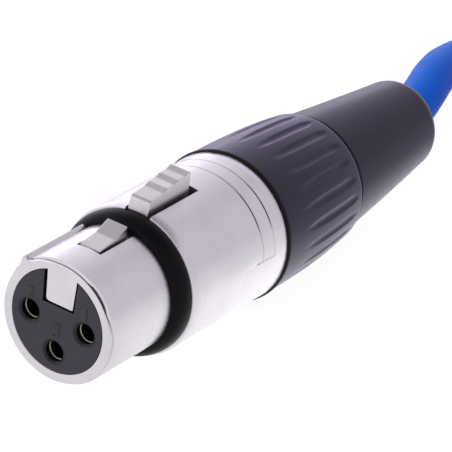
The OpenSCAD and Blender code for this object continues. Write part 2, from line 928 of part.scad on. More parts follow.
// Round pin with a domed tip, a thicker shank in the insert, a shoulder behind it and
// a solder cup
module pin_contact(i) {
    shoulder_x = socket_depth + fit + pin_flange_len + 0.02;
    dome = 0.8;
    color([0.80, 0.79, 0.77])
    at_male()
        translate([0, contact_yz(i)[0], contact_yz(i)[1]])
        difference() {
            turned(concat(
                [for (a = [0 : 15 : 90])
                    [pole_setback + dome * (1 - sin(a)), pole_r - dome + dome * cos(a)]],
                [[pole_setback, 0]],
                [
                    [sleeve_end_x, 0],
                    [sleeve_end_x, sleeve_r],
                    [shoulder_x, sleeve_r],
                    [shoulder_x, shank_r],
                    [socket_depth + fit, shank_r],
                    [socket_depth + fit, pole_r]
                ]
            ));
            rod(sleeve_end_x - cup_len + 0.02, cup_len + over, cup_r);
        }
}

female_shell();
shell_ring();
latch_lever();
latch_pin();
latch_spring();
socket_insert();
socket_contact(1);  // socket_contact_1
socket_contact(2);  // socket_contact_2
socket_contact(3);  // socket_contact_3
female_collar();
female_clamp();
female_boot_nut();
female_bend_relief();
female_cable_end();
female_wire(1, "silver");  // female_wire_1
female_wire(2, "firebrick");  // female_wire_2
female_wire(3, "white");  // female_wire_3
cable_run();
cable_coil();
cable_tail();
coil_tie(165);  // coil_tie_1
coil_tie(-35);  // coil_tie_2
male_shell();
pin_insert();
pin_contact(1);  // pin_contact_1
pin_contact(2);  // pin_contact_2
pin_contact(3);  // pin_contact_3
male_collar();
male_clamp();
male_boot_nut();
male_bend_relief();
male_cable_end();
male_wire(1, "silver");  // male_wire_1
male_wire(2, "firebrick");  // male_wire_2
male_wire(3, "white");  // male_wire_3
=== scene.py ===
import math

import bmesh
import bpy
import numpy as np
from mathutils import Matrix, Vector


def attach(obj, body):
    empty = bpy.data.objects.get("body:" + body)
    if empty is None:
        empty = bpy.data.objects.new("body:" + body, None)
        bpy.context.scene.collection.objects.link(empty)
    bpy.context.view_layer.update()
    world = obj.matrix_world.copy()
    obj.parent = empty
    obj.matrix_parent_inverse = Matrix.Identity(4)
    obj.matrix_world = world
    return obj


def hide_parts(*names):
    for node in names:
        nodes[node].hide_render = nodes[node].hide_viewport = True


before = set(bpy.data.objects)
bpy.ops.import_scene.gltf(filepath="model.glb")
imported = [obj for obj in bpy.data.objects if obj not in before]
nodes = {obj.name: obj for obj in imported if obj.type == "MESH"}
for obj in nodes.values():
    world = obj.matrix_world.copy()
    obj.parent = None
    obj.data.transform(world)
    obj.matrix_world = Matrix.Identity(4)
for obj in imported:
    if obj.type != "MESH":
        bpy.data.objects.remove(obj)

scene = bpy.context.scene
scene.view_settings.view_transform = "Standard"
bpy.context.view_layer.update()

# --- Camera -------------------------------------------------------------------
# A long lens in front of the female connector, above it and to its right, so that
# the front face and the latch are both seen. No shift and no depth of field.
camera_data = bpy.data.cameras.new("camera")
camera_data.sensor_width = 36.0
camera_data.lens = 278.76
camera_data.clip_start = 0.05
camera_data.clip_end = 20.0
camera = bpy.data.objects.new("camera", camera_data)
scene.collection.objects.link(camera)
camera_right = Vector((0.5678, -0.8148, 0.1171))
camera_up = Vector((0.3273, 0.3540, 0.8761))
camera_back = camera_right.cross(camera_up).normalized()
camera_up = camera_back.cross(camera_right).normalized()
turn = Matrix((camera_right.normalized(), camera_up, camera_back)).transposed()
camera_place = Matrix.Translation((-0.33406, -0.20091, 0.21464))
camera.matrix_world = camera_place @ turn.to_4x4()
scene.camera = camera

# --- Cable --------------------------------------------------------------------
# The lead's round cable: a satin PVC jacket 6 mm across, moulded over the cores.
# It leaves the female connector, sinks to the table, is wound into a tied coil and
# climbs from the coil's top to the male connector.
MM = 0.001  # sizes are in millimetres, and the scene is in metres
CABLE_R = 3.0
# The middles of the connectors' front faces, and a connector's length
FEMALE = np.array((-38.65, 0.0, 10.2))
MALE = np.array((29.35, -55.5, 37.3))
CONNECTOR_LEN = 77.3
# The middle of the coil's lowest layer, its outermost turn and its layers
COIL = np.array((88.65, -36.0, 4.0))
COIL_R = 45.0
COIL_START = 85.0
TURN_STEP = 6.6
LAYER_TURNS = 3.27
LAYERS = 4
RISE_TURNS = 0.5
STEPS_A_TURN = 40
ROUTE_STEPS = 4


def smooth_step(share):
    """0 below 0, 1 above 1, and three squares less two cubes of the share between."""
    share = np.clip(share, 0, 1)
    return share * share * (3 - 2 * share)


def coil_line(turns):
    """Centre line of the coil, counted in turns. The radius falls by one step a turn to
    the middle and rises again, layer after layer; the height rises by one step around
    each reversal, on a smooth ramp; the angle runs clockwise."""
    swing = np.abs((turns / LAYER_TURNS) % 2 - 1)
    radius = COIL_R - TURN_STEP * LAYER_TURNS * (1 - swing)
    angle = np.radians(COIL_START - 360 * turns)
    past_reversal = turns[:, None] - LAYER_TURNS * np.arange(1, LAYERS)
    height = TURN_STEP * smooth_step(past_reversal / RISE_TURNS + 0.5).sum(1)
    return COIL + np.stack((radius * np.cos(angle), radius * np.sin(angle), height), 1)


def smooth_route(points, steps):
    """Catmull-Rom curve: between two points it is the cubic whose slope at each of them
    is half the way from the point before it to the point after it."""
    points = np.asarray(points, float)
    before = np.vstack((2 * points[0] - points[1], points[:-1]))
    after = np.vstack((points[1:], 2 * points[-1] - points[-2]))
    slope = (after - before) / 2
    u = (np.arange(steps) / steps)[None, :, None]
    p, q = points[:-1, None], points[1:, None]
    a, b = slope[:-1, None], slope[1:, None]
    curve = ((2 * u**3 - 3 * u**2 + 1) * p + (u**3 - 2 * u**2 + u) * a
             + (3 * u**2 - 2 * u**3) * q + (u**3 - u**2) * b)
    return np.vstack((curve.reshape(-1, 3), points[-1:]))


all_turns = LAYERS * LAYER_TURNS
coil_points = coil_line(np.linspace(0, all_turns, round(STEPS_A_TURN * all_turns) + 1))
first_way = coil_points[1] - coil_points[0]
last_way = coil_points[-1] - coil_points[-2]
coil_in = coil_points[0] - 2 * CABLE_R * first_way / np.linalg.norm(first_way)
coil_out = coil_points[-1] + 2 * CABLE_R * last_way / np.linalg.norm(last_way)
run_points = np.array((
    (-5.0, 0.0, 10.2), (-2.0, 0.0, 10.2), (1.0, 0.6, 10.2), (4.0, 1.3, 10.2),
    (7.5, 2.3, 10.2), (11.5, 3.6, 10.1), (15.5, 5.0, 9.8), (20.5, 6.5, 9.0),
    (26.0, 7.8, 7.7), (32.0, 8.8, 6.2), (38.0, 9.3, 4.9), (43.0, 9.5, 4.2),
)) + (FEMALE[0] + CONNECTOR_LEN, 0, 0)
tail_points = np.array((
    (33.5, 30.8, 24.6), (38.6, 24.6, 26.6), (42.0, 17.6, 29.1), (44.0, 10.0, 31.2),
    (44.2, 2.0, 32.8), (41.8, -5.6, 34.2), (36.8, -12.0, 35.4), (29.8, -16.8, 36.4),
    (22.0, -19.2, 37.0),
)) + (COIL[0], COIL[1], 0)
# The cable's far end passes the bend relief's mouth and goes on inside it
male_mouth = MALE + (CONNECTOR_LEN - 1, 0, 0)
in_male = male_mouth - (4, 0, 0)
run_route = smooth_route(np.vstack((run_points, coil_in, coil_points[0])), ROUTE_STEPS)
tail_route = smooth_route(
    np.vstack((coil_points[-1], coil_out, tail_points, male_mouth, in_male)), ROUTE_STEPS)
route = np.vstack((run_route[:-1], coil_points, tail_route[1:])) * MM

cable_curve = bpy.data.curves.new("cable", "CURVE")
cable_curve.dimensions = "3D"
cable_curve.bevel_depth = CABLE_R * MM
cable_curve.bevel_resolution = 7
cable_curve.use_fill_caps = True
cable_spline = cable_curve.splines.new("POLY")
cable_spline.points.add(len(route) - 1)
cable_spline.points.foreach_set("co", np.c_[route, np.ones(len(route))].ravel())
cable_spline.use_smooth = True
cable = bpy.data.objects.new("cable", cable_curve)
scene.collection.objects.link(cable)


def add_node(tree, kind, **inputs):
    """A shader node with its sockets set by name; spaces in names are underscores."""
    node = tree.nodes.new(kind)
    for name, value in inputs.items():
        node.inputs[name.replace("_", " ")].default_value = value
    return node


def add_math(tree, operation, second=None, vector=False):
    """A math node on numbers or on vectors. second is its second value, if that is
    fixed."""
    node = tree.nodes.new("ShaderNodeVectorMath" if vector else "ShaderNodeMath")
    node.operation = operation
    if second is not None:
        node.inputs[1].default_value = second
    return node


def add_range(tree, start, end, low=0.0, high=1.0, way="LINEAR"):
    """A node that maps the stretch from start to end onto low to high."""
    node = add_node(tree, "ShaderNodeMapRange", From_Min=start, From_Max=end,
                    To_Min=low, To_Max=high)
    node.interpolation_type = way
    return node


def grain_group():
    """Grain of a moulded or plated skin on the object's own coordinates. Fine is a
    noise at the stated scale, Broad one twelve times coarser, both from 0 to 1, and
    Height is Fine with a share of Broad."""
    coarser = 12
    broad_share = 0.35
    group = bpy.data.node_groups.new("skin_grain", "ShaderNodeTree")
    socket = group.interface.new_socket
    socket("Scale", in_out="INPUT", socket_type="NodeSocketFloat").default_value = 3000
    for name in ("Fine", "Broad", "Height"):
        socket(name, in_out="OUTPUT", socket_type="NodeSocketFloat")
    link = group.links.new
    source = group.nodes.new("NodeGroupInput")
    target = group.nodes.new("NodeGroupOutput")
    place = group.nodes.new("ShaderNodeTexCoord")
    coarse = add_math(group, "DIVIDE", coarser)
    link(source.outputs["Scale"], coarse.inputs[0])
    height = add_math(group, "MULTIPLY_ADD", broad_share)
    for name, scale, detail in (("Fine", source.outputs["Scale"], 3.0),
                                ("Broad", coarse.outputs[0], 4.0)):
        noise = add_node(group, "ShaderNodeTexNoise", Detail=detail, Roughness=0.6)
        spread = add_range(group, 0.3, 0.7)
        link(place.outputs["Object"], noise.inputs["Vector"])
        link(scale, noise.inputs["Scale"])
        link(noise.outputs["Fac"], spread.inputs["Value"])
        link(spread.outputs["Result"], target.inputs[name])
        link(noise.outputs["Fac"], height.inputs[0 if name == "Broad" else 2])
    link(height.outputs[0], target.inputs["Height"])
    return group


skin_grain = grain_group()


def add_mix(tree, factor, first, second):
    """A mix of two colours by a factor socket. first is a socket, or a colour as second
    is."""
    shade = tree.nodes.new("ShaderNodeMix")
    shade.data_type = "RGBA"
    factor_in, first_in, second_in = (shade.inputs[k] for k in (0, 6, 7))
    tree.links.new(factor, factor_in)
    if isinstance(first, tuple):
        first_in.default_value = (*first, 1)
    else:
        tree.links.new(first, first_in)
    second_in.default_value = (*second, 1)
    return shade.outputs[2]


def finish_of(name, low, high, rough, scale, bump, **sockets):
    """A skin whose colour runs from low to high with the broad grain, whose roughness
    runs over the pair rough with the fine grain, and whose height is bump millimetres.
    Other Principled sockets are set by name and stay the same all over."""
    material = bpy.data.materials.new(name)
    material.use_nodes = True
    tree = material.node_tree
    link = tree.links.new
    shader = tree.nodes["Principled BSDF"]
    for socket, value in sockets.items():
        shader.inputs[socket.replace("_", " ")].default_value = value
    grain = tree.nodes.new("ShaderNodeGroup")
    grain.node_tree = skin_grain
    grain.inputs["Scale"].default_value = scale
    link(add_mix(tree, grain.outputs["Broad"], low, high), shader.inputs["Base Color"])
    gloss = add_range(tree, 0.0, 1.0, *rough)
    link(grain.outputs["Fine"], gloss.inputs["Value"])
    link(gloss.outputs["Result"], shader.inputs["Roughness"])
    relief = add_node(tree, "ShaderNodeBump", Strength=1.0, Distance=bump * MM)
    link(grain.outputs["Height"], relief.inputs["Height"])
    link(relief.outputs["Normal"], shader.inputs["Normal"])
    return material


jacket_pvc = finish_of("jacket_pvc", (0.001, 0.135, 0.68), (0.002, 0.150, 0.74),
                       (0.42, 0.50), 900, 0.006, IOR=1.5, Specular_IOR_Level=0.05)
cable_curve.materials.append(jacket_pvc)
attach(cable, "lead")
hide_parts("cable_run", "cable_coil", "cable_tail")

# --- Female shell -------------------------------------------------------------
# A die-cast shell with a satin nickel plate: the mating barrel with its key rib and
# latch window, a step, and a wider rear part with the slot of the push tab and two
# fine turned lines. The inserts are pushed in from behind and the boot nut holds them.
BARREL_R = 8.07
BORE_R = 6.65
SHELL_R = 9.7
SHELL_BORE_R = 8.4
SHELL_LEN = 34.2
STEP_X = 14.3
RIB_END = 11.6
WINDOW_X = 5.0
WINDOW_HALF = 1.75
SLOT_RIGHT = 2.0
SLOT_LEFT = 1.68
SLOT_END = 24.35
# A column or a station this close to a mark, in degrees or millimetres, is on it
ON_MARK = 0.1


def grid_quads(rows, columns, wrap_rows=False, wrap_columns=True):
    """Quads of a grid of points numbered row by row. Where a direction wraps, its last
    line joins its first."""
    i = np.arange(rows if wrap_rows else rows - 1)[:, None]
    j = np.arange(columns if wrap_columns else columns - 1)[None, :]
    k, m = (i + 1) % rows, (j + 1) % columns
    corners = (i * columns + j, i * columns + m, k * columns + m, k * columns + j)
    return np.stack(np.broadcast_arrays(*corners), -1).reshape(-1, 4)


def lay_piece(name, points, faces, at, material, body="lead", weave=None):
    """A mesh object from points in millimetres, moved by at, and lists of corners. Its
    loose points are dropped, its doubles merged and its faces turned outwards. weave
    gives each point of a cloth the millimetres along and across it."""
    mesh = bpy.data.meshes.new(name)
    mesh.from_pydata(((np.asarray(points) + at) * MM).tolist(), [],
                     [list(face) for face in faces])
    if weave is not None:
        mark = mesh.attributes.new("weave", "FLOAT_VECTOR", "POINT")
        mark.data.foreach_set("vector", weave.ravel())
    work = bmesh.new()
    work.from_mesh(mesh)
    bmesh.ops.delete(work, geom=[v for v in work.verts if not v.link_faces], context="VERTS")
    bmesh.ops.remove_doubles(work, verts=work.verts, dist=1e-7)
    bmesh.ops.recalc_face_normals(work, faces=work.faces)
    work.to_mesh(mesh)
    work.free()
    mesh.shade_smooth()
    mesh.materials.append(material)
    piece = bpy.data.objects.new(name, mesh)
    scene.collection.objects.link(piece)
    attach(piece, body)
    return piece


def soften(piece, width, segments=3, angle=32):
    """Rounds the edges that are sharper than the angle, width millimetres wide."""
    edge = piece.modifiers.new("edges", "BEVEL")
    edge.width = width * MM
    edge.segments = segments
    edge.limit_method = "ANGLE"
    edge.angle_limit = math.radians(angle)
    edge.harden_normals = True
    edge.use_clamp_overlap = True
    return piece


def walled_tube(outer, inner, opened):
    """Points and faces of a tube with a wall and openings. outer and inner are arrays
    (stations, columns, 3), opened says which cells between stations and columns are cut
    away. The two skins are joined along every border of a cut cell and at both ends."""
    stations, columns = outer.shape[:2]
    index = np.arange(stations * columns).reshape(stations, columns)
    under = index + stations * columns
    beside = np.roll(index, -1, 1)
    below = np.roll(under, -1, 1)
    kept = ~opened
    skin = np.stack((index[:-1], beside[:-1], beside[1:], index[1:]), -1)[kept]
    back = np.stack((under[:-1], below[:-1], below[1:], under[1:]), -1)[kept]
    along = kept != np.roll(kept, 1, 1)
    sides = np.stack((index[:-1], index[1:], under[1:], under[:-1]), -1)[along]
    closed = np.vstack((np.zeros((1, columns), bool), kept, np.zeros((1, columns), bool)))
    across = closed[1:] != closed[:-1]
    ends = np.stack((index, beside, below, under), -1)[across]
    points = np.vstack((outer.reshape(-1, 3), inner.reshape(-1, 3)))
    return points, np.vstack((skin, back, sides, ends))


def around_x(x, radius, angle):
    """Points at x, at a radius from the axis, at angles in degrees from the latch at
    the top towards +Y."""
    x, radius, angle = np.broadcast_arrays(x, radius, np.radians(angle))
    return np.stack((x, radius * np.sin(angle), radius * np.cos(angle)), -1)


def swell(columns, start, rise, fall, end):
    """A share of each column: 0 up to start, smoothly up to 1 over rise degrees, and
    down again over the last fall degrees before end."""
    return smooth_step(np.minimum((columns - start) / rise, (end - columns) / fall))


def spaced_columns(*runs):
    """Angles of the columns round a shell: even steps, with closer runs in place of
    those that come near them."""
    step, clear = 2.5, 1.2
    even = np.arange(-180, 180, step)
    for run in runs:
        even = even[(even < run[0] - clear) | (even > run[-1] + clear)]
    return np.sort(np.concatenate((even, *runs)))


def opening_angles(columns, edge, half, radius):
    """Angles of the columns at a radius: up to edge degrees from the latch a column
    keeps its share of an opening's half-width, the others stay."""
    inside = np.abs(columns) < edge + ON_MARK
    return np.where(inside, np.degrees(np.arcsin(half / radius)) * columns / edge, columns)


# Columns are closer at the window, the rib and the ends of the fine lines
WINDOW_EDGE = 15.0
TICK_AT = 84.3
window_share = np.linspace(-1, 1, 9)
rib_at = np.array((38.2, 39.3, 39.9, 40.9, 42.4, 46.0, 50.0, 53.6, 55.0))
rib_lift = (-0.02, -0.06, 0.48, 0.62, 0.60, 0.16, -0.04, -0.10, 0.0)
tick_run = np.array((-0.7, -0.3, 0.3, 0.7))
columns = spaced_columns(
    WINDOW_EDGE * window_share, rib_at, tick_run - TICK_AT, tick_run + TICK_AT)
in_window = np.abs(columns) < WINDOW_EDGE + ON_MARK

# Stations along the shell, closer at the rim's groove and at the two fine lines: x and
# radius outside, over a plain bore
rim_line = ((0.14, 7.85), (0.30, 7.86), (0.32, 7.74), (0.50, 7.74), (0.52, 8.00))
barrel_x = (0.60, 1.10, 1.30, 1.60, 3.20, WINDOW_X, 7.0, 9.3, 11.5, 11.75, 13.0, STEP_X)
rear_x = (18.0, 21.5, SLOT_END, 27.7, 27.8)
rear_line = ((29.02, 9.71), (29.06, 9.71), (29.24, 9.71), (29.28, 9.71), (29.45, 9.72),
             (29.55, 9.72), (30.4, 9.73), (31.42, 9.75), (31.46, 9.75), (31.64, 9.76),
             (31.68, 9.76), (31.74, 9.76), (33.0, 9.80), (34.05, 9.84), (34.16, 9.80),
             (SHELL_LEN, 9.73))
front_part = (*rim_line, *((x, BARREL_R) for x in barrel_x), (STEP_X + 0.01, 9.42))
rear_part = (*((x, SHELL_R) for x in rear_x), *rear_line)
# All of them, with x and radius inside: the bore widens behind the barrel's step
stations = np.array((
    (0.00, 7.70, 0.00, 6.72), (0.04, 7.78, 0.06, BORE_R),
    *((x, r, x, BORE_R) for x, r in front_part),
    (14.38, 9.60, 14.5, BORE_R), (14.60, SHELL_R, 15.6, BORE_R),
    (15.8, SHELL_R, 15.7, SHELL_BORE_R),
    *((x, r, x, SHELL_BORE_R) for x, r in rear_part),
))
out_x, out_r, in_x, in_r = (stations[:, k, None] for k in range(4))
half = np.where(out_x <= STEP_X, WINDOW_HALF, np.where(columns > 0, SLOT_LEFT, SLOT_RIGHT))
out_angle = opening_angles(columns, WINDOW_EDGE, half, out_r)
in_angle = opening_angles(columns, WINDOW_EDGE, half, in_r)

# The groove behind the rim lies closer to the front face and further in on the top and
# the right. On the right it opens into a slit, and beyond that it fades.
GROOVE_X = 0.41
GROOVE_BACK = 0.52
RIM_ZONE = 0.7
RIM_IN = 0.26
BACK_IN = 0.10
RIM_FORWARD = 0.6
SLIT_DEPTH = 0.9
SLIT_WIDTH = 0.18
FADE_DEPTH = 0.14
in_groove = np.abs(out_x - GROOVE_X) < ON_MARK
at_back = np.abs(out_x - GROOVE_BACK) < 0.01
slit = swell(columns, -63, 10, 10, -27)
drawn_in = swell(columns, -88, 34, 30, 36)
faded = np.clip((-66 - columns) / 12, 0, 1)
on_rib = (columns > 38) & (columns < 55.5) & (out_x < RIB_END) & ~in_groove
radius = np.where(on_rib, BARREL_R + np.interp(columns, rib_at, rib_lift), out_r)
radius = np.where(in_groove, radius - SLIT_DEPTH * slit + FADE_DEPTH * faded, radius)
radius = np.where(out_x < GROOVE_BACK - 0.01, radius - RIM_IN * drawn_in, radius)
radius = np.where(at_back, radius - BACK_IN * drawn_in, radius)
skin_x = np.where(out_x < RIM_ZONE, out_x * (1 - RIM_FORWARD * drawn_in), out_x)
slit_rear = (out_x > GROOVE_X) & (out_x < RIM_ZONE)
skin_x = np.where(slit_rear, skin_x + SLIT_WIDTH * slit, skin_x)

# The two fine lines are deepest at the sides and end in a shallow tick towards the front
LINES = (29.15, 31.55)
TICKS = ((27.75, 29.25), (29.5, 31.7))
from_top = np.abs(columns)
line_depth = np.interp(from_top, (0, 25, 34, 56, 64, 85), (0.12, 0.18, 0.35, 0.35, 0.10, 0.08))
at_line = (np.abs(out_x - LINES) < ON_MARK).any(1, keepdims=True)
at_tick = np.logical_or(*[(out_x > start) & (out_x < end) for start, end in TICKS])
scored = at_line & (from_top < TICK_AT + 0.5) | at_tick & (np.abs(from_top - TICK_AT) < 0.4)
radius = np.where(scored, radius - line_depth, radius)
cell_x = (out_x[:-1] + out_x[1:]) / 2
cell_open = (cell_x > WINDOW_X) & (cell_x < SLOT_END) & in_window & np.roll(in_window, -1)

nickel = finish_of("satin_nickel", (0.70, 0.675, 0.715), (0.76, 0.735, 0.77),
                   (0.26, 0.36), 2600, 0.001, Metallic=1.0)
shell_points, shell_faces = walled_tube(
    around_x(skin_x, radius, out_angle), around_x(in_x, in_r, in_angle), cell_open)
shell = soften(lay_piece("female_barrel_and_shell", shell_points, shell_faces, FEMALE, nickel),
               0.06, 2, 40)
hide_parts("female_shell")


def plate(outline, depth, place):
    """Points and faces of a flat outline given a depth: a ring of points on each side,
    quads between the rings and one face on each. place turns (u, v, w) into x, y, z."""
    outline = np.asarray(outline, float)
    count = len(outline)
    near = np.c_[outline, np.zeros(count)]
    far = np.c_[outline, np.full(count, depth)]
    faces = grid_quads(2, count).tolist()
    faces += [list(range(count)), list(range(2 * count - 1, count - 1, -1))]
    return place(np.vstack((near, far))), faces


def rounded_corner(corner, before, after, reach, steps=5):
    """A quadratic arc that leaves the line from before at reach from the corner and
    joins the line to after at the same distance."""
    corner, before, after = (np.asarray(p, float) for p in (corner, before, after))
    start = corner + reach * (before - corner) / np.linalg.norm(before - corner)
    end = corner + reach * (after - corner) / np.linalg.norm(after - corner)
    u = np.linspace(0, 1, steps)[:, None]
    return (1 - u)**2 * start + 2 * u * (1 - u) * corner + u**2 * end


# The key in the insert's notch, cast in one with the rim and flush with it
KEY_LOW = 2.3
KEY_RIGHT = -2.05
KEY_LEFT = 1.88
KEY_LEN = 2.0
low_left = (KEY_LEFT, KEY_LOW)
low_right = (KEY_RIGHT, KEY_LOW)
key_outline = np.vstack((
    rounded_corner(low_left, low_right, (2.06, 6.2), 0.55),
    ((2.08, 6.5), (0, 6.95), (-2.28, 6.45)),
    rounded_corner(low_right, (-2.3, 6.2), low_left, 0.18),
))
key_points, key_faces = plate(
    key_outline, KEY_LEN, lambda p: np.c_[p[:, 2] + 0.01, p[:, 0], p[:, 1]])
key = soften(lay_piece("female_key", key_points, key_faces, FEMALE, nickel), 0.09, 3, 50)

# --- Rubber ring --------------------------------------------------------------
# A moulded rubber ring on the barrel, pressed against the step: it seals the joint
# with the other connector. Its front is a quarter round.


def turned(name, profile, at, material, around=180, bend=0.0):
    """A closed profile of (x, radius) in millimetres carried round the connector's
    axis. bend is how far the axis has moved towards +Y at the profile's far end, growing
    with the square of the way from its near end."""
    profile = np.asarray(profile, float)
    angle = np.arange(around) * 360 / around
    points = around_x(profile[:, :1], profile[:, 1:], angle[None, :])
    way = (profile[:, 0] - profile[:, 0].min()) / np.ptp(profile[:, 0])
    points[..., 1] += bend * way[:, None]**2
    return lay_piece(name, points.reshape(-1, 3), grid_quads(len(profile), around, True),
                     at, material)


RING_X = 11.86
RING_END = 14.24
RING_ROUND = 2.05
RING_H = 1.3
RING_BORE_R = BARREL_R + 0.01
ring_steps = np.radians(np.linspace(0, 90, 13))
ring_front = np.c_[RING_X + RING_ROUND * (1 - np.cos(ring_steps)),
                   RING_BORE_R + RING_H * np.sin(ring_steps)]
ring_rear = ((14.1, 9.36), (14.2, 9.28), (RING_END, 9.15), (RING_END, RING_BORE_R))
ring_rubber = finish_of("ring_rubber", (0.002, 0.0018, 0.003), (0.003, 0.0028, 0.004),
                        (0.30, 0.38), 1500, 0.002, IOR=1.5, Specular_IOR_Level=0.10)
ring = turned("rubber_ring", np.vstack((ring_front, ring_rear)), FEMALE, ring_rubber)
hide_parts("shell_ring")

# --- Latch --------------------------------------------------------------------
# A die-cast lever, nickel-plated like the shell: a hook in the barrel's window, an arm
# under the ring and a serrated tab in the slot. It turns on a steel pin in the insert
# and a coil spring lifts the tab.
HINGE_X = 3.65
HINGE_Z = 5.0
ARM_TOP = 7.55
TAB_FRONT = 14.55
TAB_END = 23.15
TAB_TOP = 12.2
LEVER_RIGHT = 1.4
LEVER_WIDTH = 2.92
# The tab's serrated top, from its front: the steps of (along, up) from ridge to ridge
ridge_foot = (TAB_FRONT + 0.70, TAB_TOP - 1.10)
riser = (0.92, 0.33)
tread = (1.25, 0.04)
ridge_steps = ((2.30, 0.22), riser, tread, riser, tread, riser)
ridge_line = np.vstack((ridge_foot, ridge_foot + np.cumsum(ridge_steps, 0)))
lever_outline = [
    (HINGE_X - 0.4, HINGE_Z + 1.05), (5.2, HINGE_Z + 1.3), (5.3, 8.05), (8.3, 8.45),
    (10.62, 9.44), (10.75, ARM_TOP), (TAB_FRONT, ARM_TOP), (TAB_FRONT, 9.3),
    (TAB_FRONT + 0.33, ridge_foot[1] - 0.21), *ridge_line.tolist(),
    (TAB_END, TAB_TOP + 0.12), (TAB_END, 6.8), (TAB_FRONT, 6.2),
    (HINGE_X + 4, HINGE_Z + 0.6), (HINGE_X + 0.9, HINGE_Z - 0.85),
    (HINGE_X + 0.2, HINGE_Z - 1.12), (HINGE_X - 0.5, HINGE_Z - 1.02),
    (HINGE_X - 1.05, HINGE_Z - 0.45), (HINGE_X - 1.05, HINGE_Z + 0.5),
]
lever_points, lever_faces = plate(
    lever_outline, LEVER_WIDTH, lambda p: np.c_[p[:, 0], p[:, 2] - LEVER_RIGHT, p[:, 1]])
latch_metal = finish_of("latch_nickel", (0.68, 0.65, 0.665), (0.73, 0.70, 0.715),
                        (0.28, 0.38), 2600, 0.001, Metallic=1.0)
lever = lay_piece("latch_lever_body", lever_points, lever_faces, FEMALE, latch_metal, "latch")
soften(lever, 0.13, 3, 10)
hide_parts("latch_lever")
steel = finish_of("bright_steel", (0.55, 0.55, 0.57), (0.62, 0.62, 0.64), (0.2, 0.3), 2000,
                  0.001, Metallic=1.0)


def dress(name, material):
    """Gives a node of the frame that shows as it is its material."""
    slots = nodes[name].data.materials
    slots.clear()
    slots.append(material)


for name in ("latch_pin", "latch_spring"):
    dress(name, steel)

# --- Insert and contacts of the female connector ----------------------------------
# A black moulded insert with a matt face, three holes and the contacts' raised numbers.
# Its gold-plated contacts are turned sleeves with a solder cup, pushed in from behind.
insert_plastic = finish_of("insert_plastic", (0.020, 0.0172, 0.029), (0.027, 0.0232, 0.038),
                           (0.42, 0.55), 2200, 0.006, IOR=1.5)
contact_gold = finish_of("contact_gold", (0.38, 0.345, 0.25), (0.46, 0.42, 0.31), (0.18, 0.26),
                         2000, 0.001, Metallic=1.0)
pin_silver = finish_of("pin_silver", (0.76, 0.74, 0.70), (0.82, 0.80, 0.77), (0.14, 0.22),
                       2000, 0.001, Metallic=1.0)


def paint_shade(material, mask, colour):
    """Paints shade into a material's base colour: it runs to another colour where the mask runs
    from 0 to 1.
    """
    tree = material.node_tree
    base = tree.nodes["Principled BSDF"].inputs["Base Color"]
    tree.links.new(add_mix(tree, mask, base.links[0].from_socket, colour), base)


def paint_shade_inside(material, start, end, colour):
    """Paints shade: runs to a colour between two distances in millimetres behind the female
    connector's front face, so that what lies in the holes looks shaded."""
    tree = material.node_tree
    place = tree.nodes.new("ShaderNodeTexCoord")
    axes = tree.nodes.new("ShaderNodeSeparateXYZ")
    depth = add_range(tree, (FEMALE[0] + start) * MM, (FEMALE[0] + end) * MM)
    tree.links.new(place.outputs["Object"], axes.inputs[0])
    tree.links.new(axes.outputs["X"], depth.inputs["Value"])
    paint_shade(material, depth.outputs["Result"], colour)


def paint_shade_mouths(material, centres, clear_r, dark_r, colour):
    """Paints shade that runs to a colour around the holes' centres (y, z), between two distances
    from the nearest centre: a painted dark ring round each hole's mouth."""
    tree = material.node_tree
    place = tree.nodes.new("ShaderNodeTexCoord")
    flat = add_math(tree, "MULTIPLY", (0.0, 1.0, 1.0), vector=True)
    tree.links.new(place.outputs["Object"], flat.inputs[0])
    nearest = None
    for y, z in centres:
        centre = (0.0, (FEMALE[1] + y) * MM, (FEMALE[2] + z) * MM)
        away = add_math(tree, "DISTANCE", centre, vector=True)
        tree.links.new(flat.outputs[0], away.inputs[0])
        if nearest is None:
            nearest = away.outputs["Value"]
            continue
        least = add_math(tree, "MINIMUM")
        tree.links.new(nearest, least.inputs[0])
        tree.links.new(away.outputs["Value"], least.inputs[1])
        nearest = least.outputs[0]
    ring = add_range(tree, clear_r * MM, dark_r * MM, way="SMOOTHSTEP")
    tree.links.new(nearest, ring.inputs["Value"])
    paint_shade(material, ring.outputs["Result"], colour)


CONTACT_CIRCLE_R = 4.06
contact_places = {"1": (-CONTACT_CIRCLE_R, 0.0), "2": (CONTACT_CIRCLE_R, 0.0),
                  "3": (0.0, -CONTACT_CIRCLE_R)}
# The colour of the painted shade in and round the holes
painted_hole_shade = (0.002, 0.002, 0.003)
male_insert_plastic = insert_plastic.copy()
male_insert_plastic.name = "pin_insert_plastic"
# Painted shade: the insert's hole walls are painted dark from just behind its face
paint_shade_inside(insert_plastic, 0.01, 0.20, painted_hole_shade)
# Painted shade: a dark ring is painted round each hole's mouth on the insert's face
paint_shade_mouths(insert_plastic, contact_places.values(), 1.85, 1.55, painted_hole_shade)
# Painted shade: each contact's bore is painted dark from 1.05 mm behind the face
paint_shade_inside(contact_gold, 1.05, 1.5, (0.03, 0.025, 0.015))
dress("socket_insert", insert_plastic)
dress("pin_insert", male_insert_plastic)
for number in contact_places:
    dress("pin_contact_" + number, pin_silver)

# A contact: a sleeve with a rounded lip, a solid middle and a solder cup at the rear
CONTACT_X = 1.0
CONTACT_R = 1.6
CONTACT_END = 28.0
CONTACT_BORE_R = 1.2
BORE_END = 12.0
CUP_X = 24.0
CUP_R = 0.8
lip_r = (CONTACT_R - CONTACT_BORE_R) / 2
lip = np.radians(np.linspace(0, 180, 9))
contact_profile = np.vstack((
    np.c_[CONTACT_X + lip_r * (1 - np.sin(lip)), CONTACT_R - lip_r * (1 - np.cos(lip))],
    ((BORE_END, CONTACT_BORE_R), (BORE_END, 0.0), (CUP_X, 0.0), (CUP_X, CUP_R),
     (CONTACT_END, CUP_R), (CONTACT_END, CONTACT_R))))
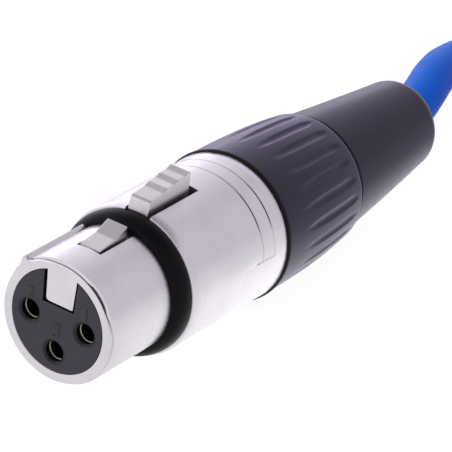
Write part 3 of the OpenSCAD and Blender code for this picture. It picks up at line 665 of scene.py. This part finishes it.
# The numbers' places and sizes
digit_places = {"1": (-4.06, 2.45, 2.0), "2": (4.06, 2.45, 2.0), "3": (-0.1, -1.23, 3.0)}
for number, (y, z) in contact_places.items():
    sleeve = turned("socket_sleeve_" + number, contact_profile, FEMALE + (0, y, z),
                    contact_gold, 64)
    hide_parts("socket_contact_" + number)
    digit_curve = bpy.data.curves.new("digit_" + number, "FONT")
    digit_curve.body = number
    digit_y, digit_z, digit_curve.size = digit_places[number]
    digit_curve.align_x = "CENTER"
    digit_curve.align_y = "CENTER"
    digit_curve.extrude = 0.05
    digit_curve.bevel_depth = 0.03
    digit_curve.offset = -0.03
    writer = bpy.data.objects.new("digit_" + number, digit_curve)
    scene.collection.objects.link(writer)
    shown = writer.evaluated_get(bpy.context.evaluated_depsgraph_get())
    flat = bpy.data.meshes.new_from_object(shown)
    bpy.data.objects.remove(writer)
    corners = np.empty(3 * len(flat.vertices))
    flat.vertices.foreach_get("co", corners)
    right, up, out = corners.reshape(-1, 3).T
    digit = lay_piece("raised_number_" + number,
                      np.c_[-out, digit_y - right, digit_z + up],
                      [list(face.vertices) for face in flat.polygons], FEMALE, insert_plastic)

# --- Cable gland of both connectors ---------------------------------------------
# Behind each shell: a dark collar, a fluted boot nut that screws into the shell and
# squeezes a slotted clamp on the jacket, and a soft tapered bend relief.
NUT_X = 0.65
NUT_LEN = 17.75
NUT_END = NUT_X + NUT_LEN
NUT_R = 9.95
NUT_FALL = 0.95
FLUTES = 24
FLUTE_DEPTH = 0.25
FLUTE_R = 0.80
FLUTE_X = NUT_X + 3.6
FLUTE_END = NUT_END - 1.1
FLUTE_TURN = 0.3
FLUTE_COLUMNS = 20


def nut_radius(x, angle):
    """Radius of the boot nut's skin: a body that narrows ever faster to the rear, less
    the hollows of the flutes. Each hollow is a round trough that sinks slowly from the
    front and rises quickly at the rear, so it begins in a point; trough and body meet
    in a small soft edge."""
    sink_len, rise_len, clear, edge = 5.5, 2.6, 0.02, 0.022
    share = np.clip((x - NUT_X) / NUT_LEN, 0, 1)
    body = NUT_R - NUT_FALL * share**2.6
    pitch = 360 / FLUTES
    off = np.radians((angle + FLUTE_TURN * pitch + pitch / 2) % pitch - pitch / 2)
    sink = np.clip((x - FLUTE_X) / sink_len, 0, 1) * np.clip((FLUTE_END - x) / rise_len, 0, 1)
    depth = FLUTE_DEPTH * sink * (2 - sink) - clear
    hollow = body - depth + (body * off)**2 / (2 * FLUTE_R)
    return -edge * np.logaddexp(-body / edge, -hollow / edge)


nut_x = np.concatenate((
    (NUT_X, NUT_X + 0.06, NUT_X + 0.3), np.linspace(NUT_X + 1.2, NUT_END - 0.35, 64),
    (NUT_END - 0.12, NUT_END - 0.02)))
nut_columns = FLUTES * FLUTE_COLUMNS
nut_angle = np.arange(nut_columns) * 360 / nut_columns
nut_skin = nut_radius(nut_x[:, None], nut_angle[None, :])
# Its first and last rings are drawn in as small chamfers
nut_skin[0] -= 0.08
nut_skin[-1] -= 0.10
# Its bore for the clamp and the spigot that screws into the shell, from the rear
nut_back = np.array((
    (NUT_END, 6.7), (12.0, 6.7), (12.0, 5.2), (-5.0, 7.0), (-5.5, 8.2), (NUT_X, 8.35)))
nut_points = np.vstack((
    around_x(nut_x[:, None], nut_skin, nut_angle[None, :]).reshape(-1, 3),
    around_x(nut_back[:, :1], nut_back[:, 1:], nut_angle[None, :]).reshape(-1, 3)))
nut_faces = grid_quads(len(nut_x) + len(nut_back), nut_columns, True)

# The relief tapers in a straight line to its mouth, which is rounded over
RELIEF_X = NUT_END + 0.66
RELIEF_END = NUT_END + 24.7
RELIEF_R = 8.52
RELIEF_REAR_R = 6.25
MOUTH_LEN = 2.4
MOUTH_R = 3.75
RELIEF_BORE_R = 3.5
taper_share = np.linspace(0, 1, 40)
relief_taper = np.c_[RELIEF_X + taper_share * (RELIEF_END - MOUTH_LEN - RELIEF_X),
                     RELIEF_R + taper_share * (RELIEF_REAR_R - RELIEF_R)]
mouth_turn = np.radians(np.linspace(10, 90, 9))
relief_mouth = np.c_[RELIEF_END - MOUTH_LEN * (1 - np.sin(mouth_turn)),
                     MOUTH_R + (RELIEF_REAR_R - MOUTH_R) * np.cos(mouth_turn)]
relief_foot = (
    (NUT_END - 2.4, RELIEF_BORE_R), (NUT_END - 2.4, 6.6), (NUT_END, 6.6), (NUT_END + 0.2, 7.6),
    (NUT_END + 0.58, 7.7), (NUT_END + 0.60, 8.44))
relief_profile = np.vstack((
    relief_foot, relief_taper, relief_mouth, ((RELIEF_END - 3.0, RELIEF_BORE_R),)))
collar_profile = ((0.0, 8.4), (0.0, 9.75), (0.12, 9.98), (0.25, 10.07), (0.50, 10.09),
                  (0.61, 9.98), (0.61, 8.4))

boot_plastic = finish_of("boot_plastic", (0.003, 0.0027, 0.005), (0.005, 0.0045, 0.008),
                         (0.26, 0.34), 2600, 0.0015, IOR=1.5, Specular_IOR_Level=0.26,
                         Sheen_Weight=0.36, Sheen_Roughness=0.5,
                         Sheen_Tint=(0.55, 0.43, 1.0, 1.0))
relief_rubber = finish_of("relief_rubber", (0.004, 0.0035, 0.007), (0.006, 0.005, 0.009),
                          (0.28, 0.34), 2400, 0.002, IOR=1.5, Specular_IOR_Level=0.15,
                          Sheen_Weight=0.2, Sheen_Roughness=0.5,
                          Sheen_Tint=(0.55, 0.45, 1.0, 1.0))
collar_plastic = finish_of("collar_plastic", (0.003, 0.003, 0.005), (0.005, 0.005, 0.007),
                           (0.35, 0.45), 2000, 0.002, IOR=1.5, Specular_IOR_Level=0.15)
clamp_plastic = finish_of("clamp_plastic", (0.70, 0.70, 0.66), (0.78, 0.78, 0.74), (0.4, 0.5),
                          1800, 0.003)
glands = {}
for side, at in (("female", FEMALE), ("male", MALE)):
    gland_at = at + (SHELL_LEN, 0, 0)
    collar = turned(side + "_gland_collar", collar_profile, gland_at, collar_plastic)
    nut = soften(lay_piece(side + "_fluted_nut", nut_points, nut_faces, gland_at, boot_plastic),
                 0.05, 2, 50)
    relief = turned(side + "_tapered_relief", relief_profile, gland_at, relief_rubber,
                    bend=0.5 if side == "female" else 0.0)
    for piece, node, slot in ((collar, "_collar", "collar_plastic"),
                              (nut, "_boot_nut", "boot_plastic"),
                              (relief, "_bend_relief", "relief_rubber")):
        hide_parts(side + node)
    glands[side] = [collar, nut, relief]
    dress(side + "_clamp", clamp_plastic)

# --- Conductors -----------------------------------------------------------------
# Behind each insert, hidden by the shell: the jacket's end in the clamp and three
# insulated cores soldered into the contacts' cups.
wire_colours = {"1": ((0.40, 0.40, 0.41), (0.50, 0.50, 0.51)),
                "2": ((0.45, 0.02, 0.015), (0.50, 0.03, 0.02)),
                "3": ((0.70, 0.70, 0.68), (0.78, 0.78, 0.76))}
for number, (low, high) in wire_colours.items():
    wire_skin = finish_of("core_" + number, low, high, (0.3, 0.4), 1500, 0.003)
    for side in ("female", "male"):
        dress(f"{side}_wire_{number}", wire_skin)
for side in ("female", "male"):
    dress(side + "_cable_end", jacket_pvc)

# --- Male shell -----------------------------------------------------------------
# The other end's shell, die-cast and nickel-plated in the same way: an open socket
# with a window for the hook and a groove for the rib.
SOCKET_DEPTH = 12.0
SOCKET_R = 8.3
MALE_R = 9.70
CATCH_X = 1.25
CATCH_LEN = 3.0
CATCH_HALF = 2.1
CATCH_EDGE = 14.6
RIB_GROOVE_R = 8.95
rib_groove_at = np.array((-52.6, -52.0, -48.0, -45.0, -42.0, -38.0, -37.4))
male_columns = spaced_columns(CATCH_EDGE * window_share, rib_groove_at)
in_catch = np.abs(male_columns) < CATCH_EDGE + ON_MARK

# Stations along the shell: x and radius outside, x and radius inside
plain_x = (0.8, CATCH_X, CATCH_X + CATCH_LEN / 2, CATCH_X + CATCH_LEN, 7.5)
male_stations = np.array((
    (0.00, 9.35, 0.0, 8.36), (0.10, 9.58, 0.08, SOCKET_R), (0.35, MALE_R, 0.3, SOCKET_R),
    *[(x, MALE_R, x, SOCKET_R) for x in plain_x],
    (11.9, MALE_R, 11.95, SOCKET_R), (12.1, MALE_R, SOCKET_DEPTH, SHELL_BORE_R),
    (20.0, MALE_R, 20.0, SHELL_BORE_R), (30.0, MALE_R, 30.0, SHELL_BORE_R),
    (33.95, MALE_R, 33.95, SHELL_BORE_R), (34.12, 9.62, 34.12, SHELL_BORE_R),
    (SHELL_LEN, 9.45, SHELL_LEN, SHELL_BORE_R),
))
out_x, out_r, in_x, in_r = (male_stations[:, k, None] for k in range(4))
out_angle = opening_angles(male_columns, CATCH_EDGE, CATCH_HALF, out_r)
in_angle = opening_angles(male_columns, CATCH_EDGE, CATCH_HALF, in_r)
in_rib_groove = (male_columns > rib_groove_at[1] - 0.3) & (
    male_columns < rib_groove_at[-2] + 0.3) & (in_x < SOCKET_DEPTH - 0.01)
in_radius = np.where(in_rib_groove, RIB_GROOVE_R, in_r)
cell_x = (out_x[:-1] + out_x[1:]) / 2
cell_open = (cell_x > CATCH_X) & (cell_x < CATCH_X + CATCH_LEN) & in_catch & np.roll(in_catch, -1)
male_points, male_faces = walled_tube(
    around_x(out_x, out_r, out_angle), around_x(in_x, in_radius, in_angle), cell_open)
male_shell = soften(lay_piece("male_socket_and_shell", male_points, male_faces, MALE, nickel),
                    0.06, 2, 40)
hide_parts("male_shell")

# --- Ties -----------------------------------------------------------------------
# Two hook-and-loop straps pulled tight round the coil's turns, woven nylon 12 mm wide.
# Each laps over itself on the outside and ends in a free tab on top.
STRAP_T = 0.85
STRAP_W = 12.0
STRAP_GAP = 0.05
LAP_GAP = 0.02
LAP_LIFT = 0.9
LIFTS_AT = 40.0
LAP_END = 84.0


def strap_line(bundle, directions, gap):
    """Outline at a gap round the discs of the cut turns: in each direction, in degrees
    from outwards to up, it is the outermost centre plus the disc's radius and the gap."""
    turned_by = np.radians(directions)
    way = np.c_[np.cos(turned_by), np.sin(turned_by)]
    outermost = bundle[np.argmax(bundle @ way.T, axis=0)]
    return outermost + (CABLE_R + gap)[:, None] * way


def lay_strap(name, angle, directions, gap, material):
    """A strap round the turns that lie within its width at an angle round the coil. It
    is a closed loop where the directions go all the way round, else it has two ends.
    Its weave attribute holds the millimetres along and across the strap."""
    around = math.radians(angle)
    outward = np.array((math.cos(around), math.sin(around)))
    aside = np.array((-outward[1], outward[0]))
    flat = coil_points[:, :2] - COIL[:2]
    held = (flat @ outward > 0) & (np.abs(flat @ aside) < STRAP_W / 2)
    bundle = np.c_[flat[held] @ outward, coil_points[held, 2]]
    lines = [strap_line(bundle, directions, gap + rise) for rise in (STRAP_T, 0.0)]
    run = np.linalg.norm(np.diff(lines[0], axis=0, prepend=lines[0][:1]), axis=1).cumsum()
    corners, weave = [], []
    for line, side in ((lines[0], -0.5), (lines[0], 0.5), (lines[1], 0.5), (lines[1], -0.5)):
        place = line[:, :1] * outward + side * STRAP_W * aside
        corners.append(np.c_[place, line[:, 1]])
        weave.append(np.c_[run, np.full((len(run), 2), (side * STRAP_W, 0.0))])
    whole = np.ptp(directions) > 350
    faces = grid_quads(len(directions), 4, whole).tolist()
    if not whole:
        last = 4 * (len(directions) - 1)
        faces += [[3, 2, 1, 0], [last, last + 1, last + 2, last + 3]]
    return soften(lay_piece(name, np.stack(corners, 1).reshape(-1, 3), faces,
                            (COIL[0], COIL[1], 0), material,
                            weave=np.stack(weave, 1)), 0.18, 2, 50)


# The weave is the product of a sine along and a sine across the strap
tie_weave = finish_of("tie_weave", (0.012, 0.012, 0.014), (0.020, 0.020, 0.024), (0.7, 0.85),
                      900, 0.05, Specular_IOR_Level=0.3, Sheen_Weight=0.15)
tree = tie_weave.node_tree
shader = tree.nodes["Principled BSDF"]
threads = tree.nodes.new("ShaderNodeAttribute")
threads.attribute_name = "weave"
pitch = add_math(tree, "MULTIPLY", (5.2, 7.8, 0.0), vector=True)
wave = add_math(tree, "SINE", vector=True)
parts = tree.nodes.new("ShaderNodeSeparateXYZ")
raised = add_math(tree, "MULTIPLY")
cloth = add_node(tree, "ShaderNodeBump", Strength=1.0, Distance=0.12 * MM)
tree.links.new(threads.outputs["Vector"], pitch.inputs[0])
tree.links.new(pitch.outputs[0], wave.inputs[0])
tree.links.new(wave.outputs[0], parts.inputs[0])
tree.links.new(parts.outputs["X"], raised.inputs[0])
tree.links.new(parts.outputs["Y"], raised.inputs[1])
tree.links.new(raised.outputs[0], cloth.inputs["Height"])
tree.links.new(shader.inputs["Normal"].links[0].from_socket, cloth.inputs["Normal"])
tree.links.new(cloth.outputs["Normal"], shader.inputs["Normal"])

# A strap goes all the way round from below; its lap runs on from the outside over the
# top and lifts towards its end
loop_way = np.arange(-140.0, 220.0, 4.0)
loop_gap = np.full(len(loop_way), STRAP_GAP)
lap_way = np.arange(-30.0, LAP_END, 4.0)
lifted = np.clip((lap_way - LIFTS_AT) / (LAP_END - LIFTS_AT), 0, 1)
lap_gap = STRAP_GAP + STRAP_T + LAP_GAP + LAP_LIFT * lifted**2
ties = []
for number, angle in (("1", 165), ("2", -35)):
    tie = lay_strap("tie_strap_" + number, angle, loop_way, loop_gap, tie_weave)
    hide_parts("coil_tie_" + number)
    lap = lay_strap("tie_lap_" + number, angle, lap_way, lap_gap, tie_weave)
    for piece in (tie, lap):
        ties.append(piece)

male_nodes = [nodes[name] for name in (
    "pin_insert", "pin_contact_1", "pin_contact_2", "pin_contact_3", "male_clamp",
    "male_cable_end", "male_wire_1", "male_wire_2", "male_wire_3")]

# --- Table and light --------------------------------------------------------------
# A plain white table in a white room whose light falls off towards the ceiling. One
# soft lamp stands low behind the lead on the left and fills its top edges.
floor_mesh = bpy.data.meshes.new("table")
floor_mesh.from_pydata([(-3, -3, 0), (3, -3, 0), (3, 3, 0), (-3, 3, 0)], [], [(0, 1, 2, 3)])
floor = bpy.data.objects.new("table", floor_mesh)
scene.collection.objects.link(floor)
TABLE_GLOW = 0.4
TABLE_WHITE = 0.93
MIRRORED_NEAR = 1.5
MIRRORED_FAR = 0.76
MIRRORED_REACH = 0.045


def seen_rays(tree, camera_level):
    """A level for what the camera sees directly or through glass, and what is mirrored
    as a second value."""
    rays = tree.nodes.new("ShaderNodeLightPath")
    direct = add_math(tree, "MAXIMUM")
    tree.links.new(rays.outputs["Is Camera Ray"], direct.inputs[0])
    tree.links.new(rays.outputs["Is Transmission Ray"], direct.inputs[1])
    scaled = add_math(tree, "MULTIPLY", camera_level)
    tree.links.new(direct.outputs[0], scaled.inputs[0])
    return scaled.outputs[0], rays.outputs["Is Glossy Ray"]


# The table shows white. What is mirrored of it is a painted glow: whitest beside the connector
# and greyer away from it and in front of the connector.
table_white = bpy.data.materials.new("table_white")
table_white.use_nodes = True
tree = table_white.node_tree
tree.nodes.clear()
direct, mirrored = seen_rays(tree, TABLE_WHITE - TABLE_GLOW)
place = tree.nodes.new("ShaderNodeTexCoord")
centred = add_node(tree, "ShaderNodeMapping", Location=(-0.014, 0.0, 0.0), Scale=(0.7, 1.0, 1.0))
tree.links.new(place.outputs["Object"], centred.inputs[0])
away = add_math(tree, "LENGTH", vector=True)
tree.links.new(centred.outputs[0], away.inputs[0])
# Painted glow: the level seen in reflections falls off with the distance from a spot beside the
# connector
painted_glow = add_range(tree, 0.0, MIRRORED_REACH, MIRRORED_NEAR - TABLE_GLOW,
                  MIRRORED_FAR - TABLE_GLOW, "SMOOTHSTEP")
tree.links.new(away.outputs["Value"], painted_glow.inputs["Value"])
level = add_math(tree, "MULTIPLY_ADD")
tree.links.new(mirrored, level.inputs[0])
tree.links.new(painted_glow.outputs["Result"], level.inputs[1])
tree.links.new(direct, level.inputs[2])
base = add_math(tree, "ADD", TABLE_GLOW)
tree.links.new(level.outputs[0], base.inputs[0])
glow = tree.nodes.new("ShaderNodeEmission")
tree.links.new(base.outputs[0], glow.inputs["Strength"])
diffuse = add_node(tree, "ShaderNodeBsdfDiffuse", Color=(0.2, 0.2, 0.2, 1))
both = tree.nodes.new("ShaderNodeAddShader")
tree.links.new(diffuse.outputs[0], both.inputs[0])
tree.links.new(glow.outputs[0], both.inputs[1])
out = tree.nodes.new("ShaderNodeOutputMaterial")
tree.links.new(both.outputs[0], out.inputs["Surface"])
floor_mesh.materials.append(table_white)

# The room's light runs from white on the lead's left to lavender grey on its right and
# overhead; what the camera sees of the room itself is white.
world = bpy.data.worlds.new("room")
scene.world = world
world.use_nodes = True
tree = world.node_tree
tree.nodes.clear()
place = tree.nodes.new("ShaderNodeTexCoord")
along = add_math(tree, "DOT_PRODUCT", (0.0, 1.0, -0.75), vector=True)
tree.links.new(place.outputs["Generated"], along.inputs[0])
spread = add_range(tree, -0.90, 0.60)
tree.links.new(along.outputs["Value"], spread.inputs["Value"])
ramp = tree.nodes.new("ShaderNodeValToRGB")
steps = ((0.0, (0.49, 0.47, 0.505)), (0.18, (0.47, 0.44, 0.485)), (0.38, (0.58, 0.54, 0.60)),
         (0.68, (0.66, 0.63, 0.67)), (0.82, (0.72, 0.70, 0.74)), (1.0, (0.95, 0.90, 1.0)))
while len(ramp.color_ramp.elements) < len(steps):
    ramp.color_ramp.elements.new(0.5)
for element, (position, colour) in zip(ramp.color_ramp.elements, steps):
    element.position = position
    element.color = (*colour, 1)
tree.links.new(spread.outputs["Result"], ramp.inputs[0])
axes = tree.nodes.new("ShaderNodeSeparateXYZ")
tree.links.new(place.outputs["Generated"], axes.inputs[0])
ceiling = add_range(tree, 0.67, 0.86, 1.5, 0.70)
tree.links.new(axes.outputs["Z"], ceiling.inputs["Value"])
room = tree.nodes.new("ShaderNodeBackground")
tree.links.new(ceiling.outputs["Result"], room.inputs["Strength"])
tree.links.new(ramp.outputs["Color"], room.inputs["Color"])
white = add_node(tree, "ShaderNodeBackground", Color=(1, 1, 1, 1), Strength=1.0)
mix = tree.nodes.new("ShaderNodeMixShader")
tree.links.new(seen_rays(tree, 1.0)[0], mix.inputs[0])
tree.links.new(room.outputs[0], mix.inputs[1])
tree.links.new(white.outputs[0], mix.inputs[2])
out = tree.nodes.new("ShaderNodeOutputWorld")
tree.links.new(mix.outputs[0], out.inputs["Surface"])


def soft_lamp(name, place, target, size, power, colour):
    """A soft lamp of a width and height at a place, facing a target."""
    data = bpy.data.lights.new(name, "AREA")
    data.shape = "RECTANGLE"
    data.size, data.size_y = size
    data.energy = power
    data.color = colour
    lamp = bpy.data.objects.new(name, data)
    scene.collection.objects.link(lamp)
    lamp.location = place
    way = Vector(target) - Vector(place)
    lamp.rotation_euler = way.to_track_quat("-Z", "Y").to_euler()
    return lamp


soft_lamp("back_lamp", (0.70, 0.56, 0.07), (0.0, 0.0, 0.01), (0.7, 0.12), 0.35, (0.9, 0.84, 1))
top_lamp = soft_lamp("top_lamp", (-0.3, -0.2, 0.9), (0.0, 0.0, 0.0), (0.8, 0.8), 2.0, (1, 1, 1))
top_lamp.visible_glossy = False

# The put-away coil and what lies on it aren't mirrored in the connector
for piece in (cable, male_shell, *glands["male"], *ties, *male_nodes):
    piece.visible_glossy = False
